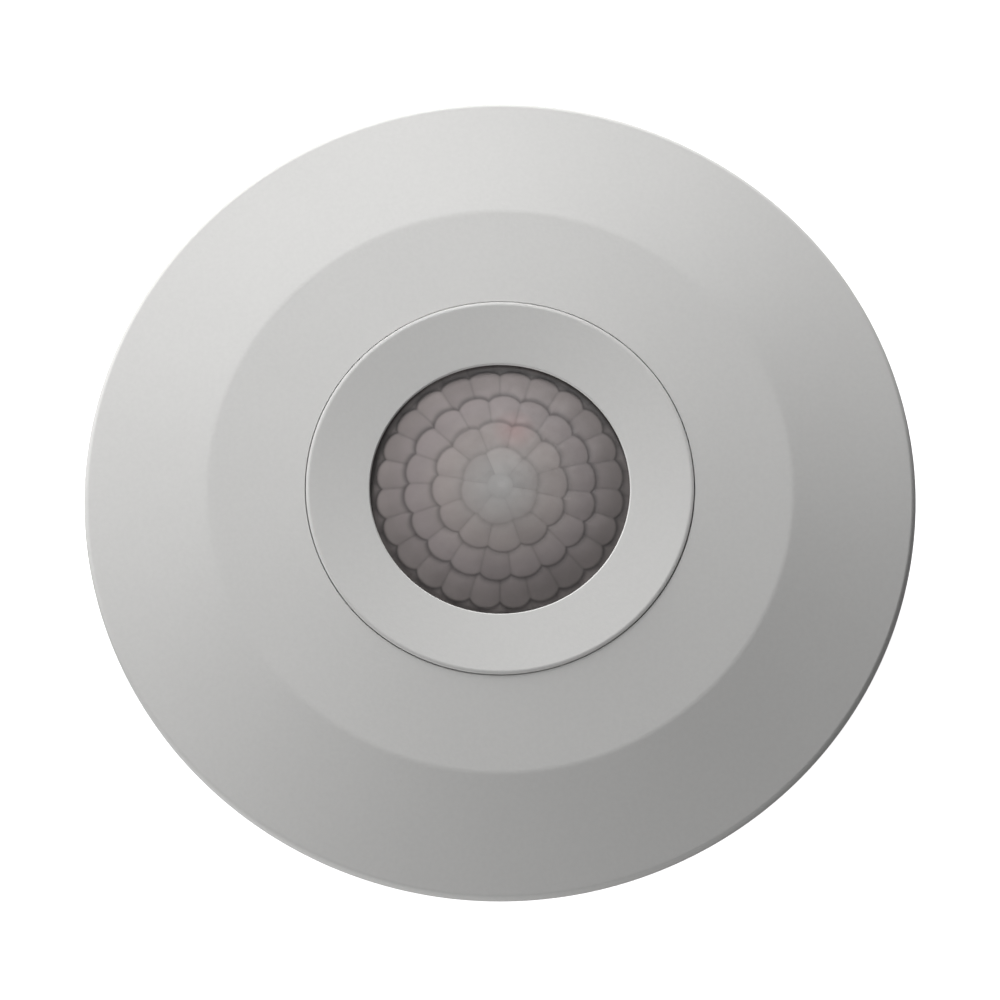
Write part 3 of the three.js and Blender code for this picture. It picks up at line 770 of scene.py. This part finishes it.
    finish_piece(merge("chip_capacitors", [c for c, t in chips if t]), tan, "base", (), 30, False)
    finish_piece(merge("chip_resistors", [c for c, t in chips if not t]), BLACK, "base", (), 30, False)
    finish_piece(merge("chip_end_caps", ends), TIN, "base", (), 30, False)
    white = moulded("silkscreen_ink", rgb(220, 222, 218), rough=0.6, grain=5000, depth=0.000004, vary=0.06, speck=0.05)
    lines = []
    for x0, x1, y0, y1 in ink + [(-15.8, 15.8, -27.3, -18.3), (-24.9, -9.1, 11.8, 20.2), (9.5, 18.5, 21.6, 28.4), (20.3, 27.7, 10.3, 17.7), (25.0, 32.0, -15.5, -8.5)]:
        w = 0.13
        for a in ((x0, x1, y0, y0 + w), (x0, x1, y1 - w, y1), (x0, x0 + w, y0, y1), (x1 - w, x1, y0, y1)):
            lines.append(block("i", *a, 7.6, 7.622))
    for x, y, r in ((-8, 28, 3.55), (1.5, 28.5, 3.55), (0, 0, 7.4), (*LED, 2.3)):
        lines.append(lathe("i", [(r, 7.6), (r + 0.14, 7.6), (r + 0.14, 7.622), (r, 7.622)], 64, (x, y, 0)))
    finish_piece(merge("board_legend", lines), white, "base", (), 30, False)


# ------------------------------------------------------------------ parts on the board
def make_chips():
    legs = []

    def body(name, node, x0, x1, y0, y1, along_x):
        ob = block(name, x0, x1, y0, y1, 7.75, 9.4, 0.12, 2)
        cut(ob, post("d", 0.42, 9.28, 9.6, x0 + 0.85, y0 + 0.85, 24))
        finish_piece(ob, BLACK, "base", [node], 30)
        n = 6
        for i in range(n):
            if along_x:
                c = (x0 + x1) / 2 + (i - (n - 1) / 2) * 1.27
                for s, y in ((-1, y0), (1, y1)):
                    pts = [(0, 8.75), (0.42, 8.75), (0.62, 8.6), (0.72, 7.85), (0.85, 7.78), (1.25, 7.78), (1.25, 7.63), (0.75, 7.63), (0.6, 7.72), (0.5, 8.45), (0.38, 8.55), (0, 8.55)]
                    legs.append(leg([(c, y + s * p, z) for p, z in pts], (0.21, 0, 0)))
            else:
                c = (y0 + y1) / 2 + (i - (n - 1) / 2) * 1.27
                for s, x in ((-1, x0), (1, x1)):
                    pts = [(0, 8.75), (0.42, 8.75), (0.62, 8.6), (0.72, 7.85), (0.85, 7.78), (1.25, 7.78), (1.25, 7.63), (0.75, 7.63), (0.6, 7.72), (0.5, 8.45), (0.38, 8.55), (0, 8.55)]
                    legs.append(leg([(x + s * p, c, z) for p, z in pts], (0, 0.21, 0)))

    def leg(points, half):
        n = len(points)
        verts = [tuple(np.array(p) - half) for p in points] + [tuple(np.array(p) + half) for p in points]
        faces = [tuple(range(n))[::-1], tuple(range(n, 2 * n))] + [(i, (i + 1) % n, n + (i + 1) % n, n + i) for i in range(n)]
        return new_object("leg", verts, faces)

    body("controller_chip", "microcontroller", 9.8, 18.6, 8.6, 12.6, True)
    body("amplifier_chip", "amplifier_ic", -15.2, -11.2, -7.0, 1.8, False)
    finish_piece(merge("chip_legs", legs), TIN, "base", (), 30, False)


def make_pyro():
    finish_piece(lathe("detector_spacer", rounded([(0, 7.65), (5.0, 7.65), (5.0, 8.4, 0.15, 3), (0, 8.4)], False), 72), BLACK, "base", ["pyro_spacer"])
    can = lathe("detector_can", rounded([(0, 8.45), (4.9, 8.45, 0.1, 2), (4.9, 8.95, 0.15, 3), (4.15, 8.95, 0.2, 3), (4.15, 12.4, 0.35, 6), (0, 12.4)], False), 96)
    join(can, turn(block("tab", 4.5, 5.6, -0.45, 0.45, 8.5, 8.9), 45))
    cut(can, block("win", -2.1, 2.1, -1.6, 1.6, 12.0, 13))
    finish_piece(can, NICKEL, "base", ["pyro_can"], 28)
    n = Nodes("filter_dark")
    n.link(n.scaled((0.030, 0.026, 0.040), n.span(n.noise(700.0, 2.0), 0.3, 0.7, 0.8, 1.2)), n.bsdf.inputs["Base Color"])
    n.link(n.span(n.noise(1600.0, 2.0), 0.3, 0.7, 0.06, 0.14), n.bsdf.inputs["Roughness"])
    set_values(n.bsdf, Metallic=0.35)
    finish_piece(block("detector_window", -2.0, 2.0, -1.5, 1.5, 12.05, 12.42, 0.05, 1), n.mat, "base", ["pyro_filter_window"])
    finish_piece(lathe("foam_ring", rounded([(5.1, 7.7, 0.15, 2), (7.0, 7.7, 0.3, 3), (7.0, 11.0, 0.5, 5), (5.1, 11.0, 0.4, 5)]), 96), FOAM, "base", ["pyro_foam_seal"], 40)


def make_led():
    n = Nodes("red_epoxy")
    n.link(n.scaled((0.55, 0.035, 0.03), n.span(n.noise(900.0, 2.0), 0.3, 0.7, 0.85, 1.15)), n.bsdf.inputs["Base Color"])
    n.link(n.span(n.noise(1500.0, 2.0), 0.3, 0.7, 0.14, 0.24), n.bsdf.inputs["Roughness"])
    set_values(n.bsdf, Subsurface_Weight=0.35)
    n.bsdf.inputs["Subsurface Radius"].default_value = (0.0015, 0.0004, 0.0003)
    n.bsdf.inputs["Subsurface Scale"].default_value = 1.0
    ob = lathe("indicator", rounded([(0, 0), (1.9, 0, 0.1, 2), (1.9, 0.95, 0.12, 3), (1.5, 0.95), (1.5, 3.2), (1.42, 3.75, 0.3, 3), (1.1, 4.3, 0.4, 3), (0.6, 4.6, 0.4, 3), (0, 4.65)], False), 48, (*LED, 7.65))
    finish_piece(ob, n.mat, "base", ["status_led"], 40)


def make_terminals():
    h = block("terminal_housing", -15.4, 15.4, -27.0, -18.6, 7.65, 17.2, 0.0)
    cuts = [block("c", -16, 16, -28, -25.9, 15.3, 18)]
    for k in range(6):
        x = (k - 2.5) * PITCH
        cuts += [post("c", 2.05, 13.4, 18, x, TERMINAL_Y, 40), block("c", x - 1.95, x + 1.95, -25.6, -20.2, 8.3, 13.9), block("c", x - 1.5, x + 1.5, -28, -25.4, 9.0, 12.2)]
        if k:
            cuts.append(block("c", x - 2.5 - 0.14, x - 2.5 + 0.14, -28, -26.75, 7.0, 18))
            cuts.append(block("c", x - 2.5 - 0.14, x - 2.5 + 0.14, -26, -18, 16.95, 18))
    cut(h, *cuts)
    m = h.modifiers.new("bevel", "BEVEL")
    m.width, m.segments, m.limit_method, m.angle_limit = 0.16 * MM, 2, "ANGLE", math.radians(40)
    m.harden_normals = False
    finish_piece(h, BLUE, "base", ["terminal_block_housing"], 30)
    for k in range(6):
        x = (k - 2.5) * PITCH
        s = lathe(f"clamp_screw_{k + 1}", rounded([(0, -2.9), (0.7, -2.9), (0.95, -2.6), (0.95, 1.5), (1.85, 1.5, 0.08, 2), (1.85, 3.0, 0.25, 4), (0, 3.0)], False), 48, (x, TERMINAL_Y, 13.4))
        cut(s, turn(block("c", x - 2.2, x + 2.2, TERMINAL_Y - 0.3, TERMINAL_Y + 0.3, 15.6, 17), 25 + 47 * k, (x, TERMINAL_Y)))
        finish_piece(s, ZINC, f"terminal_screw_{k + 1}", [f"terminal_screw_{k + 1}"], 30)
        c = block(f"cage_{k + 1}", x - 1.7, x + 1.7, TERMINAL_Y - 2.4, TERMINAL_Y + 2.3, 8.6, 12.6, 0.18, 2)
        cut(c, block("c", x - 1.2, x + 1.2, TERMINAL_Y - 3, TERMINAL_Y + 3, 9.4, 11.7), post("c", 1.2, 11, 13, x, TERMINAL_Y, 32))
        finish_piece(c, BRASS, f"terminal_clamp_{k + 1}", [f"terminal_clamp_{k + 1}"], 30)


def make_relay_and_capacitors():
    r = block("relay_case", -24.5, -9.5, 12.2, 19.8, 7.65, 15.6, 0.3, 3)
    cut(r, lathe("c", [(0.55, 15.45), (0.8, 15.45), (0.8, 16), (0.55, 16)], 32, (-22.6, 17.9, 0)),
        block("c", -25, -24.35, 12, 20, 8.6, 8.8), block("c", -9.65, -9, 12, 20, 8.6, 8.8), block("c", -25, -9, 12, 12.35, 8.6, 8.8), block("c", -25, -9, 19.65, 20, 8.6, 8.8))
    finish_piece(r, BLACK, "base", ["alarm_relay"], 30)
    sleeve = moulded("capacitor_sleeve", rgb(26, 28, 52), rough=0.24, grain=1400, depth=0.000006, vary=0.06, speck=0.03)
    stripe = moulded("capacitor_stripe", rgb(168, 172, 186), rough=0.28, grain=1400, depth=0.000006, vary=0.05, speck=0.03)
    for i, x, y, h in ((1, -8, 28, 9.0), (2, 1.5, 28.5, 7.6)):
        c = lathe(f"capacitor_{i}", rounded([(0, 0), (2.9, 0, 0.2, 3), (3.15, 0.4, 0.2, 2), (3.15, 1.1, 0.2, 2), (2.95, 1.4, 0.2, 3), (3.15, 1.7, 0.2, 2), (3.15, h - 0.3, 0.3, 4), (2.6, h, 0.1, 2), (2.55, h - 0.12), (0, h - 0.12)], False), 72, (x, y, 7.65))
        cut(c, turn(block("k", x - 1.9, x + 1.9, y - 0.07, y + 0.07, 7.65 + h - 0.2, 7.65 + h + 1), 20, (x, y)), turn(block("k", x - 1.9, x + 1.9, y - 0.07, y + 0.07, 7.65 + h - 0.2, 7.65 + h + 1), 110, (x, y)))
        smooth(c, 30)
        c.data.materials.clear()
        for m in (sleeve, stripe, ALU):
            c.data.materials.append(m)
        for p in c.data.polygons:
            px, py, pz = p.center.x / MM - x, p.center.y / MM - y, p.center.z / MM - 7.65
            rr = math.hypot(px, py)
            if pz > h - 0.35 and rr < 2.58:
                p.material_index = 2
            elif rr > 2.8 and pz > 0.4 and 170 < math.degrees(math.atan2(py, px)) % 360 < 215:
                p.material_index = 1
        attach(c, "base")
        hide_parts(f"electrolytic_capacitor_{i}")


def make_tamper():
    x, y = TAMPER
    b = block("switch_body", x - 3.1, x + 3.1, y - 3.1, y + 3.1, 7.65, 11.6, 0.2, 2)
    cut(b, post("c", 1.5, 8.8, 12, x, y, 48))
    finish_piece(b, BLACK, "base", ["tamper_switch_body"], 30)
    rivets = [lathe("r", rounded([(0, 11.5), (0.45, 11.5), (0.4, 11.72, 0.08, 2), (0, 11.74)], False), 20, (x + sx * 2.45, y + sy * 2.45, 0)) for sx in (-1, 1) for sy in (-1, 1)]
    finish_piece(merge("switch_rivets", rivets), TIN, "base", (), 30, False)
    p = lathe("plunger", rounded([(0, 9.6), (1.25, 9.6, 0.15, 2), (1.25, 17.2, 0.15, 3), (2.5, 17.2, 0.12, 3), (2.5, 18.3, 0.35, 5), (0, 18.3)], False), 64, (x, y, 0))
    finish_piece(p, IVORY, "tamper_plunger", ["tamper_plunger"], 30)
    # coil: flat ground ends, five turns
    turns, per, ring = 5.0, 48, 12
    n = int(turns * per)
    centre = []
    for k in range(n + 1):
        t = k / per
        u = k / n
        rise = u + 0.035 * math.sin(2 * math.pi * u)
        centre.append((x + 1.95 * math.cos(2 * math.pi * t), y + 1.95 * math.sin(2 * math.pi * t), 11.98 + 4.8 * min(max(rise, 0), 1)))
    verts, faces = [], []
    for k, c in enumerate(centre):
        a = 2 * math.pi * k / per
        out = np.array([math.cos(a), math.sin(a), 0])
        up = np.array([0, 0, 1.0])
        for j in range(ring):
            b2 = 2 * math.pi * j / ring
            verts.append(tuple(np.array(c) + 0.25 * (out * math.cos(b2) + up * math.sin(b2))))
    for k in range(n):
        for j in range(ring):
            i2 = (j + 1) % ring
            faces.append((k * ring + j, (k + 1) * ring + j, (k + 1) * ring + i2, k * ring + i2))
    faces.append(tuple(range(ring)))
    faces.append(tuple(n * ring + j for j in range(ring))[::-1])
    s = new_object("spring_coil", verts, faces)
    smooth(s, 50, False)
    s.data.materials.append(ZINC)
    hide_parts("tamper_spring")
    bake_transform(s)


def make_switches():
    x, y = DIP
    b = block("option_body", x - 4.1, x + 4.1, y - 3, y + 3, 7.65, 10.9, 0.15, 2)
    ways = (x - 2.5, x, x + 2.5)
    cut(b, *[block("c", w - 0.65, w + 0.65, y - 1.6, y + 1.6, 9.7, 11.5) for w in ways])
    finish_piece(b, BLUE, "base", ["dip_switch_body"], 30)
    for i, w in enumerate(ways):
        s = block(f"option_slider_{i + 1}", w - 0.5, w + 0.5, y - 1.5, y - 0.1, 9.8, 11.5, 0.1, 2)
        cut(s, block("c", w - 0.6, w + 0.6, y - 1.0, y - 0.6, 11.3, 12))
        finish_piece(s, IVORY, f"dip_slider_{i + 1}", [f"dip_slider_{i + 1}"], 30)
    x, y = TRIMMER
    b = block("trimmer_case", x - 3.3, x + 3.3, y - 3.3, y + 3.3, 7.65, 11.2, 0.2, 2)
    cut(b, post("c", 2.75, 9.9, 12, x, y, 64))
    finish_piece(b, BLUE, "base", ["trimmer_body"], 30)
    r = lathe("trimmer_dial", rounded([(0, 10.0), (2.55, 10.0), (2.55, 11.7, 0.2, 4), (0, 11.7)], False), 64, (x, y, 0))
    cut(r, block("c", x - 1.9, x + 1.9, y - 0.35, y + 0.35, 11.0, 12.5), block("c", x - 0.35, x + 0.35, y - 1.9, y + 1.9, 11.0, 12.5))
    finish_piece(r, IVORY, "trimmer_rotor", ["trimmer_rotor"], 30)


def make_board_screws():
    for i, (x, y) in enumerate(BOSSES):
        s = lathe(f"pan_screw_{i + 1}", rounded([(0, 2.9), (0.6, 2.9), (1.15, 3.9), (1.15, 7.7), (2.6, 7.7, 0.1, 2), (2.6, 8.35, 0.5, 4), (1.9, 9.3, 0.9, 6), (0, 9.45)], False), 56, (x, y, 0))
        a = 20 + 35 * i
        cut(s, turn(block("c", x - 1.45, x + 1.45, y - 0.28, y + 0.28, 8.55, 10), a, (x, y)), turn(block("c", x - 1.45, x + 1.45, y - 0.28, y + 0.28, 8.55, 10), a + 90, (x, y)))
        finish_piece(s, ZINC, "base", [f"board_screw_{i + 1}"], 34)


make_cover()
make_ring()
make_lens()
make_base()
make_board()
make_chips()
make_pyro()
make_led()
make_terminals()
make_relay_and_capacitors()
make_tamper()
make_switches()
make_board_screws()


# ------------------------------------------------------------------ floor, light, camera
def make_stage():
    n = 24
    verts = [(x * 100.0 - 1200.0, y * 100.0 - 1200.0, -0.15) for y in range(n + 1) for x in range(n + 1)]
    faces = [(y * (n + 1) + x, y * (n + 1) + x + 1, (y + 1) * (n + 1) + x + 1, (y + 1) * (n + 1) + x) for y in range(n) for x in range(n)]
    me = bpy.data.meshes.new("floor")
    me.from_pydata((np.array(verts) * MM).tolist(), [], faces)
    floor = bpy.data.objects.new("floor", me)
    SCENE.collection.objects.link(floor)
    m = Nodes("floor_pale")
    m.link(m.scaled((0.9, 0.9, 0.9), m.span(m.noise(12.0, 2.0), 0.3, 0.7, 0.98, 1.02)), m.bsdf.inputs["Base Color"])
    set_values(m.bsdf, Roughness=0.9, Specular_IOR_Level=0.1)
    m.bsdf.inputs["Emission Color"].default_value = (1, 1, 1, 1)
    m.bsdf.inputs["Emission Strength"].default_value = 0.92
    me.materials.append(m.mat)
    floor.visible_diffuse = False  # the world's lower half gives the light from below, more softly than the bright floor would


def make_light(name, azimuth, elevation, distance, size, power):
    """Azimuth is counter-clockwise from +X, in degrees."""
    a, e = math.radians(azimuth), math.radians(elevation)
    data = bpy.data.lights.new(name, "AREA")
    data.shape, data.size, data.energy = "DISK", size, power
    ob = bpy.data.objects.new(name, data)
    ob.location = Vector((math.cos(a) * math.cos(e), math.sin(a) * math.cos(e), math.sin(e))) * distance
    ob.rotation_euler = (-ob.location).to_track_quat("-Z", "Y").to_euler()
    SCENE.collection.objects.link(ob)
    return ob


make_stage()
key = make_light("key", 104, 15.0, 1.6, 0.5, 39.5)
key.visible_glossy = False  # it rakes the face; its mirror image at low views would only be glare
make_light("side", 218, 25, 1.6, 0.7, 14.0)
gleam = make_light("gleam", 80, 62, 1.6, 0.6, 9.0)  # gives the metal parts and the lens something to shine with
gleam.visible_diffuse = False

WORLD_BELOW, WORLD_ABOVE = 0.26, 0.135
world = bpy.data.worlds.new("studio")
SCENE.world = world
world.use_nodes = True
world.node_tree.nodes["Background"].inputs["Color"].default_value = (1, 1, 1, 1)
sky = world.node_tree.nodes.new("ShaderNodeTexCoord")
up = world.node_tree.nodes.new("ShaderNodeSeparateXYZ")
world.node_tree.links.new(sky.outputs["Generated"], up.inputs[0])
level = world.node_tree.nodes.new("ShaderNodeMapRange")  # brighter below the horizon than above it
level.inputs["From Min"].default_value, level.inputs["From Max"].default_value = -0.12, 0.02
level.inputs["To Min"].default_value, level.inputs["To Max"].default_value = WORLD_BELOW, WORLD_ABOVE
world.node_tree.links.new(up.outputs["Z"], level.inputs["Value"])
world.node_tree.links.new(level.outputs["Result"], world.node_tree.nodes["Background"].inputs["Strength"])

TILT = 16.6
cam_data = bpy.data.cameras.new("camera")
cam_data.lens, cam_data.sensor_width = 600.0, 36.0
cam = bpy.data.objects.new("camera", cam_data)
SCENE.collection.objects.link(cam)
aim = Vector((0, -0.15, 18.6)) * MM
back = Vector((0, -math.sin(math.radians(TILT)), math.cos(math.radians(TILT))))
cam.location = aim + back * 2.004
cam.rotation_mode = "QUATERNION"
cam.rotation_quaternion = (-back).to_track_quat("-Z", "Y")
cam_data.clip_start, cam_data.clip_end = 0.01, 20.0
SCENE.camera = cam
SCENE.view_settings.view_transform = "Standard"
